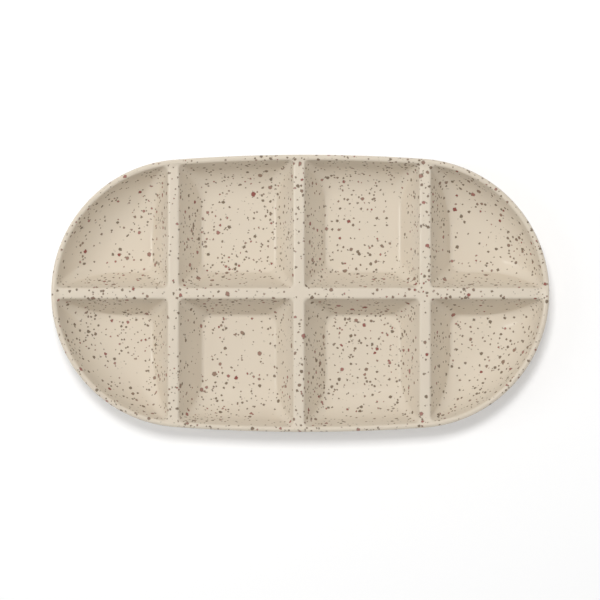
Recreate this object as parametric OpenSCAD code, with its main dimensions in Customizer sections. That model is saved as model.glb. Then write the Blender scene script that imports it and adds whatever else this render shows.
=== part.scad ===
// Oval stoneware serving dish with eight compartments, built up from clay members.
// Millimetres. X runs along the dish, Y across it, Z up. The origin is on the
// surface that the dish stands on, under the middle of the dish.

/* [Dish] */
// Length over the rim
dish_length = 360; // [320:1:420]
// Width over the rim, at the middle of the long sides
dish_width = 200; // [180:1:230]
// How far the long sides bow out past the round ends
side_bow = 3; // [1:0.5:8]
// Height from the table to the top of the rim
dish_height = 38; // [34:0.5:50]

/* [Wall] */
// Thickness of the rim, measured level
rim_thickness = 4.4; // [3.6:0.1:6]
// Slope of the wall under the rim, in degrees from level
wall_slope = 72; // [66:1:80]
// Radius of the hollow curve that carries a long side's inside into the floor
bowl_radius = 25; // [16:0.5:30]
// Radius of that curve in the two round ends
end_bowl_radius = 33; // [31:0.5:34]
// Radius of the round that carries the wall's outside under the dish
belly_radius = 26; // [16:0.5:30]

/* [Floor] */
// Thickness of the floor in the compartments
floor_thickness = 5.5; // [4:0.1:8]
// How far the luted seams lie above the compartment floors
seam_lift = 1.5; // [1:0.1:1.6]

/* [Foot] */
// Height of the foot ring
foot_height = 2.5; // [1.5:0.1:5]
// Width of the foot ring
foot_width = 5; // [3:0.5:9]
// Level distance from the end of the belly's round to the foot ring
foot_setback = 1; // [0.5:0.5:8]
// Radius of the foot ring's two lower edges
foot_edge = 0.8; // [0.4:0.1:1.2]

/* [Dividers] */
// Width of a divider's top, before its edges are rounded
divider_top = 7.6; // [6:0.1:10]
// How far the divider tops lie below the rim
divider_drop = 1.6; // [1.5:0.1:8]
// Slope of the long divider's flanks, in degrees from level
long_slope = 69; // [62:1:80]
// Slope of the cross dividers' flanks, in degrees from level
cross_slope = 63; // [60:1:80]
// Radius of the rounded edges along a divider's top
divider_edge = 2; // [1:0.1:2.6]
// Radius of the hollow fillet at a divider's foot
divider_fillet = 3.5; // [3.5:0.5:8]
// Distance from the middle of the dish to the two outer cross dividers
cross_spacing = 91; // [80:1:95]

/* [Hidden] */

glaze = "#ddd1bf";
bare_clay = "#cdb99b";

// Steps in each rounded corner of a section
arc_steps = 14;
$fn = 240;

// Four-centre oval: two round ends, and two long side arcs that are tangent to both of them
half_width = dish_width / 2;
end_radius = half_width - side_bow;
end_x = dish_length / 2 - end_radius;
side_radius = (end_x * end_x + half_width * half_width - end_radius * end_radius) / (2 * side_bow);
// A long side is swept well past both ends, with its section filled past the other long side
side_angle = 90;
side_core = dish_width + rim_thickness;

// Heights
base_z = foot_height;
floor_z = base_z + floor_thickness;
seam_z = floor_z + seam_lift;
divider_z = dish_height - divider_drop;
// Cutting shapes reach up to here, clear of the rim
clear_z = dish_height + rim_thickness;

// The rim is a full round between the two parallel faces of the wall
rim_radius = rim_thickness * sin(wall_slope) / 2;
rim_z = dish_height - rim_radius;
outer_face = rim_radius - rim_thickness / 2;
inner_face = rim_radius + rim_thickness / 2;

// Level distance from a wall face at the rim's centre to where its round of radius r is level
function wall_run(base, r) =
    (rim_z - base - r * (1 - cos(wall_slope))) / tan(wall_slope) + r * sin(wall_slope);

// Where the wall's two faces have become level, measured in from the outline
function bowl_toe(r) = inner_face + wall_run(floor_z, r);
belly_toe = outer_face + wall_run(base_z, belly_radius);
foot_inset = belly_toe + foot_setback;

// Half width of a divider at the end of its foot fillet
function divider_toe(slope) =
    divider_top / 2 + (divider_z - floor_z) / tan(slope) + divider_fillet * tan(slope / 2);

// Angle that a round of radius r has turned through where it has climbed by rise
function turn_at(rise, r) = acos(1 - rise / r);

// Points on an arc about c, from angle a0 to angle a1
function arc(c, r, a0, a1) = [
    for (i = [0:arc_steps]) let (a = a0 + (a1 - a0) * i / arc_steps) c + r * [cos(a), sin(a)]
];

// The rim's round, and the wall's hollow inside and round outside from one turn to another
function rim_arc(from, to) = arc([rim_radius, rim_z], rim_radius, from, to);
function bowl_arc(r, from, to) = arc([bowl_toe(r), floor_z + r], r, 270 - from, 270 - to);
// Where the straight of the ends' wall goes over into its hollow, which a long side's straight shares
end_bend = bowl_arc(end_bowl_radius, wall_slope, 0)[0];
function belly_arc(from, to) =
    arc([belly_toe, base_z + belly_radius], belly_radius, 270 - from, 270 - to);
belly_seam = turn_at(seam_z - base_z, belly_radius);

// Sections of the oval are drawn with x measured in from the outline, and filled in to $core.
// The wall with the outer half of its rim, before it is hollowed
module wall_section() {
    polygon(concat(
        rim_arc(90, 270 - wall_slope), belly_arc(wall_slope, belly_seam),
        [[$core, seam_z], [$core, dish_height]]
    ));
}

// The floor slab, before the compartments are pressed into it
module slab_section() {
    polygon(concat(belly_arc(belly_seam, 0), [[$core, base_z], [$core, seam_z]]));
}

// The hollow of the dish, from the floor up over the inner half of the rim, with a bowl radius of r
module hollow_section(r) {
    polygon(concat(
        [[rim_radius, clear_z]], rim_arc(90, 90 - wall_slope),
        r < end_bowl_radius ? [end_bend] : [], bowl_arc(r, wall_slope, 0),
        [[$core, floor_z], [$core, clear_z]]
    ));
}

// The foot ring's outside, and the opening inside it
module foot_section() {
    edge = arc([foot_inset + foot_edge, foot_edge], foot_edge, 180, 270);
    polygon(concat([[foot_inset, foot_height]], edge, [[$core, 0], [$core, foot_height]]));
}

module foot_opening() {
    inside = foot_inset + foot_width;
    edge = arc([inside - foot_edge, foot_edge], foot_edge, 270, 360);
    polygon(concat(
        [[inside - foot_edge, -foot_height]], edge,
        [[inside, clear_z], [$core, clear_z], [$core, -foot_height]]
    ));
}

// One long side's sweep, which runs on past the ends
module along_side() {
    translate([0, half_width - side_radius, 0]) rotate(90 - side_angle / 2)
        rotate_extrude(angle = side_angle) translate([side_radius, 0]) mirror([1, 0]) children();
}

// A filled section swept round the oval: two whole round ends, and between their centres the
// part that both long sides enclose
module around_oval() {
    for (x = [-end_x, end_x])
        translate([x, 0, 0]) rotate_extrude() translate([end_radius, 0]) mirror([1, 0])
            filled_to(end_radius) children();
    intersection() {
        translate([-end_x, -dish_width, -clear_z]) cube([2 * end_x, 2 * dish_width, 3 * clear_z]);
        along_side() filled_to(side_core) children();
        rotate(180) along_side() filled_to(side_core) children();
    }
}

module filled_to(depth) {
    $core = depth;
    children();
}

// Right side of a divider's section, from a turn of its foot fillet up to the middle of its top
function divider_side(slope, from) = concat(
    arc([divider_toe(slope), floor_z + divider_fillet], divider_fillet, 270 - from, 270 - slope),
    arc([divider_top / 2 - divider_edge * tan(slope / 2), divider_z - divider_edge],
        divider_edge, 90 - slope, 90)
);
function mirrored(points) = [for (i = [len(points) - 1:-1:0]) [-points[i][0], points[i][1]]];

// A divider as it stands on its seam
module divider_section(slope) {
    side = divider_side(slope, turn_at(seam_lift, divider_fillet));
    polygon(concat(side, mirrored(side)));
}

// The whole fillet, drawn down through the floor, for cutting neighbours to fit
module divider_cutter(slope) {
    side = concat([[divider_toe(slope), base_z]], divider_side(slope, 0));
    polygon(concat(side, mirrored(side)));
}

module along_x() {
    rotate([90, 0, 90]) linear_extrude(dish_length, center = true) children();
}

module along_y(x, length) {
    translate([x, 0, 0]) rotate([90, 0, 180]) linear_extrude(length) children();
}

// The room between the two outer cross dividers, and beyond one of them
module between_outer() {
    translate([-cross_spacing, -dish_width, -clear_z])
        cube([2 * cross_spacing, 2 * dish_width, 3 * clear_z]);
}

module beyond_outer() {
    translate([cross_spacing, -dish_width, -clear_z])
        cube([dish_length, 2 * dish_width, 3 * clear_z]);
}

// The hollow of the whole dish, which curves more widely beyond the outer cross dividers
module hollow() {
    intersection() {
        around_oval() hollow_section(bowl_radius);
        between_outer();
    }
    for (turn = [0, 180]) rotate(turn) intersection() {
        around_oval() hollow_section(end_bowl_radius);
        beyond_outer();
    }
}

// The eight hollows between wall and dividers
module compartments() {
    difference() {
        hollow();
        along_x() divider_cutter(long_slope);
        for (x = [-cross_spacing, 0, cross_spacing])
            translate([0, -half_width, 0]) along_y(x, dish_width) divider_cutter(cross_slope);
    }
}

module floor_slab() {
    color(glaze) difference() {
        around_oval() slab_section();
        compartments();
    }
}

module foot_ring() {
    color(bare_clay) difference() {
        around_oval() foot_section();
        around_oval() foot_opening();
    }
}

// The wall round the oval with a bowl radius of r, which is laid in four strips that meet behind the
// outer cross dividers
module wall_ring(r) {
    difference() {
        around_oval() wall_section();
        around_oval() hollow_section(r);
    }
}

module side_wall() {
    color(glaze) intersection() {
        wall_ring(bowl_radius);
        translate([-cross_spacing, 0, 0]) cube([2 * cross_spacing, dish_width, clear_z]);
    }
}

module end_wall() {
    color(glaze) intersection() {
        wall_ring(end_bowl_radius);
        beyond_outer();
    }
}

module side_wall_back() {
    side_wall();
}

module side_wall_front() {
    rotate(180) side_wall();
}

module end_wall_left() {
    rotate(180) end_wall();
}

module end_wall_right() {
    end_wall();
}

module long_divider() {
    color(glaze) intersection() {
        along_x() divider_section(long_slope);
        around_oval() hollow_section(end_bowl_radius);
    }
}

// One short divider at x, on the back half of the dish, or turned round to the front half
module cross_divider(x, front = false) {
    color(glaze) rotate(front ? 180 : 0) intersection() {
        difference() {
            along_y(front ? -x : x, half_width) divider_section(cross_slope);
            along_x() divider_cutter(long_slope);
        }
        hollow();
    }
}

module cross_divider_left_back() {
    cross_divider(-cross_spacing);
}

module cross_divider_left_front() {
    cross_divider(-cross_spacing, front = true);
}

module cross_divider_middle_back() {
    cross_divider(0);
}

module cross_divider_middle_front() {
    cross_divider(0, front = true);
}

module cross_divider_right_back() {
    cross_divider(cross_spacing);
}

module cross_divider_right_front() {
    cross_divider(cross_spacing, front = true);
}

floor_slab();
foot_ring();
side_wall_back();
side_wall_front();
end_wall_left();
end_wall_right();
long_divider();
cross_divider_left_back();
cross_divider_left_front();
cross_divider_middle_back();
cross_divider_middle_front();
cross_divider_right_back();
cross_divider_right_front();
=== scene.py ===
# %% [markdown]
# # A speckled stoneware serving dish
# The dish is a long oval with eight compartments. In the hand it is one glazed piece, so its looks
# depend on how softly one form runs into the next: wall into floor, divider into wall, rim into
# divider. This lesson shapes that glazed skin once, cuts it into the dish's clay members, and then
# gives it a glossy, speckled glaze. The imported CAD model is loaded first, because it fixes the size.

# %% Load the frame
from collections import namedtuple
from math import acos, asin, atan2, cos, pi, radians, sin, sqrt, tan

import bmesh
import bpy
from mathutils import Matrix, Vector


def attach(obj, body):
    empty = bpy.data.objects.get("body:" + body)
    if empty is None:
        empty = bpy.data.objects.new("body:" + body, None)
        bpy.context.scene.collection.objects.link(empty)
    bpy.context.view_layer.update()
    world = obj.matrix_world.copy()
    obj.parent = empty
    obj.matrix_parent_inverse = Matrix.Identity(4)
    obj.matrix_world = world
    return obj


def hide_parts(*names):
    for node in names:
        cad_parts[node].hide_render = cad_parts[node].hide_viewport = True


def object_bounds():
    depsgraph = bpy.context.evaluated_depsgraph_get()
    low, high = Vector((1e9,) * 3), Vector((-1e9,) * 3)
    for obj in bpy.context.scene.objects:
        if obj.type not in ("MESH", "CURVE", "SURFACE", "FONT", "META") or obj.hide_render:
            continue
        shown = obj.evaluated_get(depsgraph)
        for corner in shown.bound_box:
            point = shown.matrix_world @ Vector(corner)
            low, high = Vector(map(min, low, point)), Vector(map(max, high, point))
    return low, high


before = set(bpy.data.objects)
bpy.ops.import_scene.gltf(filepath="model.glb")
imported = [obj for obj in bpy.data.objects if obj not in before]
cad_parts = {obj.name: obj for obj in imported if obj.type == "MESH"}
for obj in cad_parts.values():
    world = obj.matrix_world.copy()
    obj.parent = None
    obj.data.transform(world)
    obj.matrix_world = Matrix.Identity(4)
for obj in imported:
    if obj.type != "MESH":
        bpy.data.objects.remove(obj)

MM = 0.001
cad_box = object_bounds()
half_length, half_width, height = [side / MM for side in cad_box[1]]
print(f"the dish is {2 * half_length:.1f} x {2 * half_width:.1f} x {height:.1f} mm")

# %% [markdown]
# ## The oval
# Seen from above the dish is an oval of four arcs: a tight one round each end and a very flat one
# along each side. Such an oval has a useful habit: a curve that runs a fixed distance inside it is
# made of arcs about the same four centres. So every level of the wall comes from one small
# function, which slides a point straight out or in until it lies that far inside the outline.

# %% Measure along the oval
side_bow = 3.0
end_radius = half_width - side_bow
end_x = half_length - end_radius
side_radius = (end_x**2 + half_width**2 - end_radius**2) / (2 * side_bow)
side_turn = asin(end_x / (side_radius - end_radius))


def arc_under(spot):
    """Centre and radius of the outline's arc that a plan point in the back right quarter belongs to."""
    side_centre = Vector((0, half_width - side_radius))
    to_spot = spot - side_centre
    if atan2(to_spot.x, to_spot.y) <= side_turn:
        return side_centre, side_radius
    return Vector((end_x, 0)), end_radius


def outward(spot):
    centre, _ = arc_under(spot)
    return (spot - centre).normalized()


def on_oval(spot, inset):
    """The point moved straight out or in until it lies inset inside the outline."""
    centre, radius = arc_under(spot)
    return centre + (radius - inset) * (spot - centre).normalized()


def oval_y(x, inset):
    """How far back the curve that lies inset inside the outline is at x."""
    if x <= end_x + (end_radius - inset) * sin(side_turn):
        return half_width - side_radius + sqrt((side_radius - inset) ** 2 - x**2)
    return sqrt((end_radius - inset) ** 2 - (x - end_x) ** 2)


join_x = end_x + end_radius * sin(side_turn)
print(f"end radius {end_radius:.1f} mm, side radius {side_radius:.0f} mm, joined at x = {join_x:.1f} mm")

# %% [markdown]
# ## Wall and dividers in section
# Cut across, the wall is a straight slope that runs into the floor in an arc, like a bowl. The arc is
# wider in the two round ends than along the sides. A divider is a tapered bar with rounded edges and
# a fillet at its foot. Its flanks are a little hollow, as a thumb leaves them, so each flank is a very
# flat arc and not a straight line. Both sections become functions of the height.

# %% Wall and divider sections
rim_thickness, wall_slope = 4.4, radians(72)
side_bowl, end_bowl, floor_z, seam_lift = 25.0, 33.0, 8.0, 1.5
divider_top, divider_drop, divider_edge, divider_fillet = 7.6, 1.6, 2.0, 3.5
long_slope, cross_slope, flank_hollow = radians(67), radians(63), radians(6)

rim_radius = rim_thickness * sin(wall_slope) / 2
rim_z = height - rim_radius
divider_z = height - divider_drop
seam_z = floor_z + seam_lift
inner_face = rim_radius + rim_thickness / 2


def steps(start, end, count):
    return [start + (end - start) * i / count for i in range(count + 1)]


def wall_inset(bowl, z):
    """How far inside the outline a wall with that bowl radius is at height z."""
    bowl_top = floor_z + bowl * (1 - cos(wall_slope))
    if z >= bowl_top:
        return inner_face + (rim_z - z) / tan(wall_slope)
    toe = inner_face + (rim_z - bowl_top) / tan(wall_slope) + bowl * sin(wall_slope)
    return toe - sqrt(bowl**2 - (floor_z + bowl - z) ** 2)


def top_half(slope):
    return divider_top / 2 - divider_edge * tan((slope + flank_hollow) / 2)


def divider_half(slope, z):
    """Half the width of a divider at height z: rounded edge, slightly hollow flank, foot fillet."""
    steep, gentle = slope + flank_hollow, slope - flank_hollow
    flank_top = divider_z - divider_edge * (1 - cos(steep))
    flank_foot = floor_z + divider_fillet * (1 - cos(gentle))
    if z > flank_top:
        return top_half(slope) + sqrt(divider_edge**2 - (z - divider_z + divider_edge) ** 2)
    start = top_half(slope) + divider_edge * sin(steep)
    bend = (flank_top - flank_foot) / (cos(gentle) - cos(steep))
    if z >= flank_foot:
        return start + bend * (sin(steep) - sin(acos(cos(steep) + (flank_top - z) / bend)))
    toe = start + bend * (sin(steep) - sin(gentle)) + divider_fillet * sin(gentle)
    return toe - sqrt(divider_fillet**2 - (floor_z + divider_fillet - z) ** 2)


print(f"at the floor the wall has come in {wall_inset(side_bowl, floor_z):.1f} mm along the sides,"
      f" {wall_inset(end_bowl, floor_z):.1f} mm in the ends")

# %% [markdown]
# ## One pocket as a stack of rings
# A compartment is a soft pocket: steep flanks on its divider sides, a bowl-like wall on its outer
# side. It could be modelled as a box with bevelled edges, but the bevel would be the same all round
# and all the way down. In the clay the corners are tight at the mouth and open out towards the floor.
# So the pocket is described by rings. Each ring lists how far it lies from a divider's middle line,
# how far inside the oval, at which height, and how round its corners are. The rings lie closest where
# the skin bends most.

# %% Rings from the mouth down to the floor
mouth_corner, floor_corner = 3.5, 8.5
edge_steps, rim_steps, upper_steps, bowl_steps, fillet_steps, pan_steps = 6, 2, 5, 13, 2, 7
# The wall's levels are even down to 1 / bend_share of its height and follow the bowl from there
bend_share = 1.6

Ring = namedtuple("Ring", "long cross z inset wall_z corner")


def ring_at(z, inset, wall_z, corner):
    return Ring(divider_half(long_slope, z), divider_half(cross_slope, z), z, inset, wall_z, corner)


def lower_levels(bowl, edge_z):
    """Heights from the dividers' edges down: even steps, then along the bowl and the foot fillet."""
    fillet_top = floor_z + divider_fillet * (1 - cos(long_slope))
    seam_turn = acos(1 - seam_lift / divider_fillet)
    bowl_start = acos(1 - (edge_z - floor_z) / bowl / bend_share)
    bowl_end = acos(1 - (fillet_top - floor_z) / bowl)
    levels = steps(edge_z, floor_z + bowl * (1 - cos(bowl_start)), upper_steps)[1:]
    levels += [floor_z + bowl * (1 - cos(t)) for t in steps(bowl_start, bowl_end, bowl_steps)[1:]]
    foot = steps(long_slope, seam_turn, fillet_steps)[1:] + steps(seam_turn, 0, pan_steps)[1:]
    return levels + [floor_z + divider_fillet * (1 - cos(t)) for t in foot]


def pocket_rings(bowl):
    """The rings of a pocket whose wall has that bowl radius, from the mouth down to the floor."""
    edge_turns = steps(0, long_slope + flank_hollow, edge_steps)
    edge_levels = [divider_z - divider_edge * (1 - cos(t)) for t in edge_turns]
    edge_z = edge_levels[-1]
    rim_turns = steps(0, wall_slope, edge_steps)
    over_rim = [(rim_radius * (1 + sin(t)), rim_z + rim_radius * cos(t)) for t in rim_turns]
    over_rim += [(wall_inset(bowl, z), z) for z in steps(over_rim[-1][1], edge_z, rim_steps)[1:]]
    halfway = top_half(long_slope) / 2, top_half(cross_slope) / 2
    made = [Ring(0, 0, divider_z, *over_rim[0], 0), Ring(*halfway, divider_z, *over_rim[1], mouth_corner)]
    made += [ring_at(z, *rim_point, mouth_corner) for z, rim_point in zip(edge_levels, over_rim[2:])]
    for z in lower_levels(bowl, edge_z):
        round_off = mouth_corner + (floor_corner - mouth_corner) * (edge_z - z) / (edge_z - floor_z)
        made.append(ring_at(z, wall_inset(bowl, z), z, round_off))
    return made


side_rings, end_rings = pocket_rings(side_bowl), pocket_rings(end_bowl)
seam_ring = min(range(len(side_rings)), key=lambda k: abs(side_rings[k].z - seam_z))
print(f"{len(side_rings)} rings, the luted seam is ring {seam_ring} at {side_rings[seam_ring].z:.2f} mm")

# %% [markdown]
# ## Corners and sides
# A ring goes round its pocket corner by corner. A corner is an arc that touches the two sides next to
# it, so all that it needs is its centre and the two directions in which it touches. Only the outermost
# ring has sharp corners, because it lies on the middle lines of the dividers and on the crest of
# the rim, where neighbouring pockets meet. There the corner's points spread along both sides instead.

# %% Corners
cross_x = 91.0
corner_steps, corner_leg = 10, 6.0
FRONT = Vector((0, -1))
WALLS = ("side", "end")


def crossing(x, way):
    """Corner where a cross divider at x meets the long divider, with the pocket on one way of it."""
    def centre(ring):
        spot = Vector((x + way * (ring.cross + ring.corner), ring.long + ring.corner))
        return spot, Vector((-way, 0)), FRONT
    return centre


def at_wall(x, way):
    """Corner where a cross divider at x meets the wall."""
    def centre(ring):
        across = x + way * (ring.cross + ring.corner)
        spot = Vector((across, oval_y(across, ring.inset + ring.corner)))
        return spot, Vector((-way, 0)), outward(spot)
    return centre


def at_tip(ring):
    """Corner where the long divider meets the wall at the end of the dish."""
    across = ring.long + ring.corner
    spot = Vector((end_x + sqrt((end_radius - ring.inset - ring.corner) ** 2 - across**2), across))
    return spot, FRONT, outward(spot)


def corner_points(centre, near, far, ring, turned):
    """Plan points of a corner from its first side to its second, and how far each is along (0 to 1)."""
    spot, first, second = centre(ring)
    if turned:
        first, second = second, first
    points = []
    for i in range(corner_steps + 1):
        t = i / corner_steps
        if ring.corner > 0:
            angle = first.angle(second)
            swing = (first * sin((1 - t) * angle) + second * sin(t * angle)) / sin(angle)
            points.append((spot + ring.corner * swing, t))
            continue
        along, away = (first, second) if t < 0.5 else (second, first)
        leg = (-away - along * (-away).dot(along)).normalized()
        point = spot + leg * corner_leg * abs(1 - 2 * t)
        if (near if t < 0.5 else far) in WALLS:
            point = on_oval(point, ring.inset)
        points.append((point, min(1, 2 * t) if far in WALLS else max(0, 2 * t - 1)))
    return points


print(f"corners have {corner_steps} steps and run {corner_leg} mm along the middle lines")

# %% [markdown]
# ## Two pockets, then eight
# The dish is the same in all four quarters, so two pockets are enough: a square one beside the middle
# and a round one at the end. Each is a flat grid rolled into rings, one column of the grid for each
# step round the pocket. The grid's faces also note which clay member they belong to. A corner against
# the wall goes with the wall and a corner between dividers with the long divider, because in clay the
# fillet is pressed onto the piece that is already standing.

# %% Walk round a pocket
FLOOR, SIDE_WALL, END_WALL, LONG, OUTER_CROSS, MIDDLE_CROSS = 1, 2, 3, 4, 5, 6
NAMES = {"long": LONG, "outer": OUTER_CROSS, "middle": MIDDLE_CROSS, "side": SIDE_WALL, "end": END_WALL}

# Each entry: corner, whether its two directions swap, the side before it, the side after it,
# and the steps along that second side
square_pocket = [
    (crossing(0, 1), False, "middle", "long", 16),
    (crossing(cross_x, -1), True, "long", "outer", 14),
    (at_wall(cross_x, -1), False, "outer", "side", 18),
    (at_wall(0, 1), True, "side", "middle", 14),
]
round_pocket = [
    (crossing(cross_x, 1), False, "outer", "long", 14),
    (at_tip, False, "long", "end", 36),
    (at_wall(cross_x, 1), True, "end", "outer", 14),
]


def walk(pocket, ring):
    """The points of one ring, in order, each with the member that the step after it belongs to."""
    level = dict.fromkeys(WALLS, ring.wall_z)
    arcs = [corner_points(c, near, far, ring, turned) for c, turned, near, far, _ in pocket]
    path = []
    for i, (_, _, near, far, count) in enumerate(pocket):
        low, high = level.get(near, ring.z), level.get(far, ring.z)
        for point, t in arcs[i]:
            ease = t * t * (3 - 2 * t)
            owner = next((NAMES[side] for side in (near, far) if side in WALLS), LONG)
            path.append((point, low + (high - low) * ease, owner))
        path[-1] = path[-1][:2] + (NAMES[far],)
        start, end = arcs[i][-1][0], arcs[(i + 1) % len(arcs)][0][0]
        for s in steps(0, 1, count)[1:-1]:
            point = start.lerp(end, s)
            path.append((on_oval(point, ring.inset) if far in WALLS else point, high, NAMES[far]))
    return path


print(f"{len(square_pocket)} corners in a square pocket, {len(round_pocket)} in a round one")

# %% [markdown]
# Rolling a grid is quick and keeps every ring's points in step with the next one's, which is what makes
# the shading smooth. The last ring is closed by one flat face, the middle of the compartment's floor.

# %% Roll the grids
def roll(bm, paths, member):
    """A grid with a row of vertices for each path, moved onto it. member(row, owner) marks each face."""
    rows, columns = len(paths) - 1, len(paths[0]) - 1
    made = bmesh.ops.create_grid(bm, x_segments=columns, y_segments=rows, size=1)["verts"]
    tag = bm.faces.layers.int["member"]
    for face in {f for v in made for f in v.link_faces}:
        middle = face.calc_center_median()
        row, column = int((middle.y + 1) / 2 * rows), int((middle.x + 1) / 2 * columns)
        face[tag] = member(row, paths[row][column][2])
    for v in made:
        row, column = round((v.co.y + 1) / 2 * rows), round((v.co.x + 1) / 2 * columns)
        point, z, _ = paths[row][column]
        v.co = Vector((point.x, point.y, z)) * MM
    return made


skin = bmesh.new()
member_tag = skin.faces.layers.int.new("member")
crest = []
for pocket, rings in ((square_pocket, side_rings), (round_pocket, end_rings)):
    paths = []
    for ring in rings:
        path = walk(pocket, ring)
        paths.append(path + path[:1])
    made = roll(skin, paths, lambda row, owner: FLOOR if row >= seam_ring else owner)
    crest.append([p for p, z, owner in paths[0] if abs(z - height) < 1e-6])
    floor_edge = [e for e in {e for v in made for e in v.link_edges}
                  if e.is_boundary and all(v.co.z < (floor_z + 0.001) * MM for v in e.verts)]
    bmesh.ops.remove_doubles(skin, verts=made, dist=1e-6)
    floor_edge = [e for e in floor_edge if e.is_valid]
    pan = bmesh.ops.contextual_create(skin, geom=floor_edge)["faces"]
    for face in pan:
        face[member_tag] = FLOOR
    print(f"pocket with {len(paths[0]) - 1} steps round it, floor of {len(pan[0].verts)} corners")

# %% [markdown]
# ## The outside
# Over the rim the skin goes on down the outside, round the belly and in under the dish to the flat
# underside. It starts from the same crest points that the pockets ended on, so that the two meet point
# for point and the rim has no seam along it.

# %% Wrap the outside
belly_radius, base_z = 26.0, 2.5
outer_face = rim_radius - rim_thickness / 2
belly_top = base_z + belly_radius * (1 - cos(wall_slope))
belly_toe = outer_face + (rim_z - belly_top) / tan(wall_slope) + belly_radius * sin(wall_slope)
belly_seam = acos(1 - (seam_z - base_z) / belly_radius)

over_steps, belly_steps, under_steps = 9, 5, 9
outside = [(rim_radius * (1 - sin(t)), rim_z + rim_radius * cos(t))
           for t in steps(0, pi - wall_slope, over_steps)]
outside += [(belly_toe - belly_radius * sin(t), base_z + belly_radius * (1 - cos(t)))
            for t in steps(wall_slope, belly_seam, belly_steps) + steps(belly_seam, 0, under_steps)[1:]]
outside_seam = min(range(len(outside)), key=lambda k: abs(outside[k][1] - seam_z))

quarter = sorted(crest[0] + crest[1], key=lambda p: atan2(p.x, p.y))
quarter = [p for i, p in enumerate(quarter) if i == 0 or (p - quarter[i - 1]).length > 1e-3]
paths = [[(on_oval(p, inset), z, SIDE_WALL if p.x < cross_x - 1e-3 else END_WALL) for p in quarter]
         for inset, z in outside]
roll(skin, paths, lambda row, owner: FLOOR if row >= outside_seam else owner)



def mirror_twice(bm):
    """Completes a back right quarter: across X, then across Y."""
    for axis in "XY":
        everything = bm.verts[:] + bm.edges[:] + bm.faces[:]
        bmesh.ops.mirror(bm, geom=everything, matrix=Matrix.Identity(4), merge_dist=1e-6, axis=axis)
    bmesh.ops.remove_doubles(bm, verts=bm.verts[:], dist=2e-6)


mirror_twice(skin)
under = bmesh.ops.contextual_create(skin, geom=[e for e in skin.edges if e.is_boundary])["faces"]
for face in under:
    face[member_tag] = FLOOR
bmesh.ops.recalc_face_normals(skin, faces=skin.faces[:])
open_edges = sum(not e.is_manifold for e in skin.edges)
volume = skin.calc_volume() * 1e6
print(f"glazed skin: {len(skin.faces)} faces, {open_edges} open edges, volume {volume:.0f} cm3")

# %% [markdown]
# ## Clay members
# The dish is built up from a floor slab, four wall strips, a long divider and six short ones, so the
# skin is cut into those pieces. A boolean could do it, but it would leave ragged edges. The faces know
# their member already, so each piece is a copy of the skin with the other members deleted and its
# openings capped at the luted seams. One thing must not change at a cut: the shading. The normals of
# the whole skin are kept on its points first and given back to each piece, so that no seam shows.

# %% Keep the skin's normals and cap an open piece
skin.normal_update()
normal_tag = skin.verts.layers.float_vector.new("glaze_normal")
for v in skin.verts:
    v[normal_tag] = v.normal


def chains(edges):
    """Groups of edges that hang together."""
    left, found = set(edges), []
    while left:
        chain, grow = [], [left.pop()]
        while grow:
            edge = grow.pop()
            chain.append(edge)
            near = {e for v in edge.verts for e in v.link_edges} & left
            left -= near
            grow += near
        found.append(chain)
    return found


def cap(bm):
    """Closes a piece: a cone into the clay behind each cut, and a flat face at the seam below."""
    def in_seam(edge):
        return all(abs(v.co.z - seam_z * MM) < 1e-6 for v in edge.verts)

    tag = bm.faces.layers.int["member"]
    before = set(bm.faces)
    for chain in chains([e for e in bm.edges if e.is_boundary and not in_seam(e)]):
        ends = [v for v in {v for e in chain for v in e.verts} if sum(v in e.verts for e in chain) == 1]
        point = (ends[0].co + ends[1].co) / 2
        grown = bmesh.ops.extrude_edge_only(bm, edges=chain)["geom"]
        tips = [g for g in grown if isinstance(g, bmesh.types.BMVert)]
        bmesh.ops.pointmerge(bm, verts=tips, merge_co=point)
    seam = [e for e in bm.edges if e.is_boundary]
    bmesh.ops.triangle_fill(bm, use_beauty=True, edges=seam, normal=(0, 0, 1))
    for face in set(bm.faces) - before:
        face[tag] = 0
    bmesh.ops.recalc_face_normals(bm, faces=bm.faces[:])
    if bm.calc_volume(signed=True) < 0:
        bmesh.ops.reverse_faces(bm, faces=bm.faces[:])


def make_piece(name, bm, node):
    mesh = bpy.data.meshes.new(name)
    bm.to_mesh(mesh)
    bm.free()
    piece = bpy.data.objects.new(name, mesh)
    bpy.context.scene.collection.objects.link(piece)
    mesh.shade_smooth()
    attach(piece, "root")
    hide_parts(node)
    return piece


print(f"kept {len(skin.verts)} normals")

# %% [markdown]
# Now the cuts themselves. Each piece gets the name of the clay member that it shows, and the glaze's
# normals are set corner by corner. Only the caps keep flat normals of their own.

# %% Cut the members out
cross_names = {OUTER_CROSS: ("left", "right"), MIDDLE_CROSS: ("middle", "middle")}


def node_of(face):
    """The CAD node that a face of the skin stands for."""
    member, middle = face[member_tag], face.calc_center_median()
    across, along = "back" if middle.y > 0 else "front", "right" if middle.x > 0 else "left"
    if member in cross_names:
        return f"cross_divider_{cross_names[member][middle.x > 0]}_{across}"
    return {FLOOR: "floor_slab", SIDE_WALL: f"side_wall_{across}",
            END_WALL: f"end_wall_{along}", LONG: "long_divider"}[member]


members = {}
for face in skin.faces:
    members.setdefault(node_of(face), set()).add(face.index)

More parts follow.
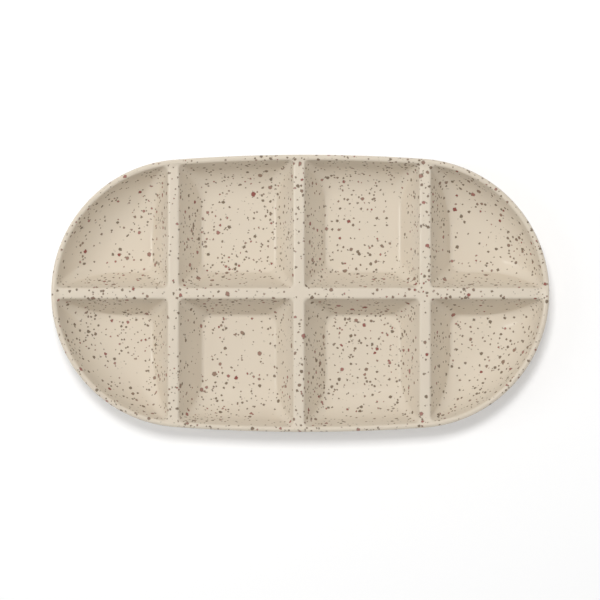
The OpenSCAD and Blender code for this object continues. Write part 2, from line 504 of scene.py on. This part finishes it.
glazed = []
for node, faces in sorted(members.items()):
    part = skin.copy()
    part.faces.ensure_lookup_table()
    bmesh.ops.delete(part, geom=[f for f in part.faces if f.index not in faces], context="FACES")
    cap(part)
    loose = sum(not e.is_manifold for e in part.edges)
    piece = make_piece(f"glazed_{node}", part, node)
    mesh = piece.data
    kept, tags = mesh.attributes["glaze_normal"].data, mesh.attributes["member"].data
    normals = []
    for face in mesh.polygons:
        for vertex in face.vertices:
            normals.append(kept[vertex].vector if tags[face.index].value else face.normal)
    mesh.normals_split_custom_set(normals)
    for name in ("glaze_normal", "member"):
        mesh.attributes.remove(mesh.attributes[name])
    glazed.append(piece)
    print(f"{piece.name}: {len(mesh.polygons)} faces, {loose} loose edges")
skin.free()

# %% [markdown]
# ## The foot ring
# Under the floor runs a low ring, wiped clean of glaze so that it doesn't stick to the kiln shelf. It
# is a strip of clay bent round the oval, which is just what a spin does: the ring's small section
# turns about the side's far centre, then about the end's centre. That gives a quarter, and two mirrors
# give the rest.

# %% Spin the foot ring
foot_height, foot_width, foot_edge, foot_setback = base_z, 5.0, 0.8, 1.0
foot_y = half_width - belly_toe - foot_setback - foot_width / 2
ring = bmesh.new()
section = bmesh.ops.create_grid(ring, x_segments=1, y_segments=1, size=0.5)["verts"]
for v in section:
    v.co = Vector((0, foot_y + v.co.x * foot_width, (v.co.y + 0.5) * foot_height)) * MM
bottom = [v for v in section if v.co.z < MM * foot_height / 2]
bmesh.ops.bevel(ring, geom=bottom, offset=foot_edge * MM, affect="VERTICES", segments=5, profile=0.5,
                material=-1)
bmesh.ops.delete(ring, geom=ring.faces[:], context="FACES_ONLY")
side_steps, end_steps = 14, 28
turns = [(Vector((0, half_width - side_radius, 0)), side_turn, side_steps),
         (Vector((end_x, 0, 0)), pi / 2 - side_turn, end_steps)]
last = ring.verts[:] + ring.edges[:]
for centre, angle, count in turns:
    spun = bmesh.ops.spin(ring, geom=last, cent=centre * MM, axis=(0, 0, -1), angle=angle, steps=count)
    last = spun["geom_last"]
mirror_twice(ring)
bmesh.ops.recalc_face_normals(ring, faces=ring.faces[:])
loose = sum(not e.is_manifold for e in ring.edges)
print(f"foot ring: {len(ring.faces)} faces, {loose} loose edges, {ring.calc_volume() * 1e9:.0f} mm3")
foot = make_piece("unglazed_foot_ring", ring, "foot_ring")
for edge in foot.data.edges:
    edge.use_edge_sharp = False
foot.data.set_sharp_from_angle(angle=radians(40))

# %% [markdown]
# ## A short way to write shader nodes
# The finishes are built from shader nodes, and each node takes several lines to add, set and link. Two
# small functions shorten that: one adds any node with its inputs, the other does one sum. Colours are
# written as they are read off a screen and turned into the linear values that a shader works with.

# %% Helpers for shader nodes
def srgb(r, g, b):
    """A screen colour (0 to 255) as the linear colour that a shader takes."""
    parts = (r / 255, g / 255, b / 255)
    return [c / 12.92 if c <= 0.04045 else ((c + 0.055) / 1.055) ** 2.4 for c in parts] + [1]


def add(tree, kind, **inputs):
    """A node with some inputs set or linked: i0 is the first one, and underscores stand for spaces."""
    node = tree.nodes.new(kind)
    for key, value in inputs.items():
        numbered = key[0] == "i" and key[1:].isdigit()
        socket = node.inputs[int(key[1:]) if numbered else key.replace("_", " ")]
        if isinstance(value, bpy.types.NodeSocket):
            tree.links.new(value, socket)
        else:
            socket.default_value = value
    return node


def math(tree, operation, a, b=0.0):
    node = add(tree, "ShaderNodeMath", i0=a, i1=b)
    node.operation = operation
    return node.outputs[0]


print("half grey is", [round(c, 3) for c in srgb(128, 128, 128)[:3]], "to a shader")

# %% [markdown]
# ## Specks
# The specks are grains of iron in the clay that bleed through the glaze as they melt. A grain lies at
# some depth under the surface, so what shows is a slice of a small ball: most slices are small and a
# few are wide. A 3-D Voronoi texture does the same. Each of its cells holds one point, and the skin
# cuts a ball round that point at whatever height it happens to pass. A white noise, read at that same
# point, rolls the dice for the grain: whether it is there at all, how big it is and how red. The
# Voronoi's own colour wouldn't do, because it depends on where in its cell the point lies. A slow
# noise gathers the grains into loose clusters. The clay of the foot has the same grains, so the specks
# are a node group that both materials use.

# %% The speck group
specks = bpy.data.node_groups.new("iron_specks", "ShaderNodeTree")
for name, direction in (("Amount", "INPUT"), ("Mask", "OUTPUT"), ("Tint", "OUTPUT")):
    specks.interface.new_socket(name=name, in_out=direction, socket_type="NodeSocketFloat")
entry, leave = specks.nodes.new("NodeGroupInput"), specks.nodes.new("NodeGroupOutput")
place = specks.nodes.new("ShaderNodeTexCoord").outputs["Object"]
ragged = add(specks, "ShaderNodeTexNoise", Vector=place, Scale=900.0, Detail=1.0).outputs["Color"]
ragged = add(specks, "ShaderNodeVectorMath", i0=ragged, i1=(0.5, 0.5, 0.5))
ragged.operation = "SUBTRACT"
ragged_edge = 1.3 * MM
shove = add(specks, "ShaderNodeVectorMath", i0=ragged.outputs[0], i1=(ragged_edge,) * 3, i2=place)
shove.operation = "MULTIPLY_ADD"
cluster = add(specks, "ShaderNodeTexNoise", Vector=place, Scale=38.0, Detail=2.0).outputs["Fac"]
cluster = add(specks, "ShaderNodeMapRange", Value=cluster, From_Min=0.33, From_Max=0.67,
              To_Min=0.25, To_Max=1.0).outputs[0]


def grains(cell, smallest, widest, share, blur, offset):
    """One size of grain: cell, smallest and widest radius and soft edge in mm, share of cells filled."""
    shifted = add(specks, "ShaderNodeVectorMath", i0=shove.outputs[0], i1=offset)
    balls = add(specks, "ShaderNodeTexVoronoi", Vector=shifted.outputs[0], Scale=1000.0 / cell)
    dice = add(specks, "ShaderNodeTexWhiteNoise", Vector=balls.outputs["Position"])
    chance = add(specks, "ShaderNodeSeparateColor", Color=dice.outputs["Color"])
    odds = math(specks, "MULTIPLY", math(specks, "MULTIPLY", cluster, share), entry.outputs["Amount"])
    filled = math(specks, "LESS_THAN", chance.outputs[0], odds)
    radius = add(specks, "ShaderNodeMapRange", Value=chance.outputs[1],
                 To_Min=smallest / cell, To_Max=widest / cell).outputs[0]
    inside = math(specks, "SUBTRACT", radius, balls.outputs["Distance"])
    edge = add(specks, "ShaderNodeMapRange", Value=inside, From_Min=-blur / cell, From_Max=blur / cell)
    edge.interpolation_type = "SMOOTHSTEP"
    return math(specks, "MULTIPLY", edge.outputs[0], filled), chance.outputs[2]


fine = grains(2.85, 0.45, 0.85, 0.95, 0.2, (0, 0, 0))
middling = grains(4.6, 0.8, 1.35, 0.8, 0.25, (0.4, 0.2, 0.1))
coarse = grains(8.5, 1.25, 1.8, 0.52, 0.25, (0.1, 0.5, 0.3))
mask = warm = 0.0
# Larger grains run redder: each size's tint has a spread and a least value
for (grain, tint), spread, least in ((fine, 1.0, 0.0), (middling, 0.9, 0.13), (coarse, 0.3, 0.74)):
    tint = math(specks, "ADD", math(specks, "MULTIPLY", tint, spread), least)
    mask = math(specks, "MAXIMUM", mask, grain)
    warm = math(specks, "MAXIMUM", warm, math(specks, "MULTIPLY", grain, tint))
specks.links.new(mask, leave.inputs["Mask"])
specks.links.new(warm, leave.inputs["Tint"])
print(f"speck group with {len(specks.nodes)} nodes")

# %% [markdown]
# ## The glaze
# The glaze is a warm beige glass over the clay: glossy, very slightly wavy where it ran and pooled, and
# a shade uneven in colour. The colour comes from the specks and a slow noise, and the waves from a bump
# that is far too shallow to see except in the highlights. The foot is the same clay without its glass:
# dull, gritty and a little darker.

# %% Glaze and bare clay
def surface(name):
    """A new material with its Principled shader."""
    material = bpy.data.materials.new(name)
    material.use_nodes = True
    return material, material.node_tree, material.node_tree.nodes["Principled BSDF"]


def blend(tree, factor, first, second):
    node = tree.nodes.new("ShaderNodeMix")
    node.data_type = "RGBA"
    for socket, value in zip((node.inputs[0], node.inputs[6], node.inputs[7]), (factor, first, second)):
        if isinstance(value, bpy.types.NodeSocket):
            tree.links.new(value, socket)
        else:
            socket.default_value = value
    return node.outputs[2]


def speckled(tree, amount, ground):
    """The ground colour with iron specks in it, from olive grey to red brown."""
    group = tree.nodes.new("ShaderNodeGroup")
    group.node_tree = specks
    group.inputs["Amount"].default_value = amount
    ramp = add(tree, "ShaderNodeValToRGB", Fac=group.outputs["Tint"])
    tones = ramp.color_ramp.elements
    tones[0].position, tones[0].color = 0.6, srgb(126, 111, 94)
    tones[1].position, tones[1].color = 1.0, srgb(140, 80, 73)
    tones.new(0.82).color = srgb(147, 122, 106)
    tones.new(0.92).color = srgb(162, 115, 106)
    return blend(tree, group.outputs["Mask"], ground, ramp.outputs["Color"])


glaze, tree, shader = surface("speckled_glaze")
place = tree.nodes.new("ShaderNodeTexCoord").outputs["Object"]
cloud = add(tree, "ShaderNodeTexNoise", Vector=place, Scale=22.0, Detail=3.0).outputs["Fac"]
ground = blend(tree, cloud, srgb(211, 199, 182), srgb(217, 206, 188))
tree.links.new(speckled(tree, 1.0, ground), shader.inputs["Base Color"])
waves = add(tree, "ShaderNodeTexNoise", Vector=place, Scale=120.0, Detail=1.0).outputs["Fac"]
ripple = add(tree, "ShaderNodeBump", Height=waves, Strength=0.12, Distance=0.0004)
tree.links.new(ripple.outputs["Normal"], shader.inputs["Normal"])
gloss = add(tree, "ShaderNodeMapRange", Value=cloud, To_Min=0.14, To_Max=0.2).outputs[0]
tree.links.new(gloss, shader.inputs["Roughness"])
shader.inputs["IOR"].default_value = 1.5
for piece in glazed:
    piece.data.materials.append(glaze)

bare, tree, shader = surface("bare_stoneware")
place = tree.nodes.new("ShaderNodeTexCoord").outputs["Object"]
grit = add(tree, "ShaderNodeTexNoise", Vector=place, Scale=900.0, Detail=4.0).outputs["Fac"]
ground = blend(tree, grit, srgb(196, 176, 146), srgb(214, 197, 170))
tree.links.new(speckled(tree, 0.8, ground), shader.inputs["Base Color"])
rough = add(tree, "ShaderNodeBump", Height=grit, Strength=0.35, Distance=0.0003)
tree.links.new(rough.outputs["Normal"], shader.inputs["Normal"])
shader.inputs["Roughness"].default_value = 0.8
foot.data.materials.append(bare)
print("glaze on", len(glazed), "pieces, bare clay on the foot ring")

# %% [markdown]
# ## Floor, light and camera
# The dish lies on a white table and is photographed from almost straight above. The table is plain and
# pale. Its colour is lifted a little for the camera only, so that it turns white and still keeps the
# dish's soft shadow. Most of the light is an even white surround and a broad window on the left, which
# models the walls. The window casts no shadow and isn't mirrored in the glaze. The lamp overhead stands
# towards the back, so the shadow falls along the front. Two narrow strips are there for their
# reflections: they draw the thin bright lines along the edges.

# %% The white table
table_half, table_white, camera_lift = 3.0, 0.9, 0.1
slab = bmesh.new()
bmesh.ops.create_grid(slab, x_segments=1, y_segments=1, size=table_half)
table_mesh = bpy.data.meshes.new("table")
slab.to_mesh(table_mesh)
slab.free()
table = bpy.data.objects.new("table", table_mesh)
bpy.context.scene.collection.objects.link(table)
white, tree, shader = surface("white_table")
shader.inputs["Base Color"].default_value = (table_white, table_white, table_white, 1)
shader.inputs["Roughness"].default_value = 0.9
shader.inputs["Emission Color"].default_value = (1, 1, 1, 1)
seen = tree.nodes.new("ShaderNodeLightPath").outputs["Is Camera Ray"]
tree.links.new(math(tree, "MULTIPLY", seen, camera_lift), shader.inputs["Emission Strength"])
table_mesh.materials.append(white)
print(f"table {2 * table_half:.0f} m square")

# %% Light
scene = bpy.context.scene
scene.view_settings.view_transform = "Standard"
world = bpy.data.worlds.new("studio")
scene.world = world
world.use_nodes = True
surround = world.node_tree.nodes["Background"]
surround.inputs["Color"].default_value = (1, 1, 1, 1)
surround.inputs["Strength"].default_value = 0.36


def lamp(name, spot, size, power):
    """A rectangular lamp that shines at the dish."""
    light = bpy.data.lights.new(name, "AREA")
    light.shape = "RECTANGLE"
    light.size, light.size_y = size
    light.energy = power
    thing = bpy.data.objects.new(name, light)
    thing.location = spot
    thing.rotation_euler = (-Vector(spot)).to_track_quat("-Z", "Y").to_euler()
    scene.collection.objects.link(thing)
    return thing


window = lamp("window", (-1.5, 0.6, 1.7), (2.0, 2.0), 15.5)
window.visible_glossy = False
window.data.use_shadow = False
window.data.cycles.use_multiple_importance_sampling = False
lamp("overhead", (0.0, 0.46, 1.9), (0.35, 0.35), 18.0).visible_glossy = False
lamp("left_strip", (-1.2, 0.1, 1.55), (0.2, 1.0), 2.8)
lamp("right_strip", (1.54, 0.08, 0.72), (0.15, 0.43), 1.3)
print("window, overhead lamp and two strips")

# %% Camera
photo_px, px_per_mm, sensor, lens = 600, 1.388, 36.0, 150.0
camera_data = bpy.data.cameras.new("camera")
camera_data.sensor_width, camera_data.lens = sensor, lens
reach = photo_px / px_per_mm * lens / sensor * MM
camera = bpy.data.objects.new("camera", camera_data)
aim = Vector((0.001, -0.0048, height * MM))
lean = radians(3.5)
camera.location = aim + reach * Vector((sin(lean), 0, cos(lean)))
camera.rotation_euler = (0, lean, 0)
scene.collection.objects.link(camera)
scene.camera = camera
print(f"camera {reach:.2f} m above the rim")
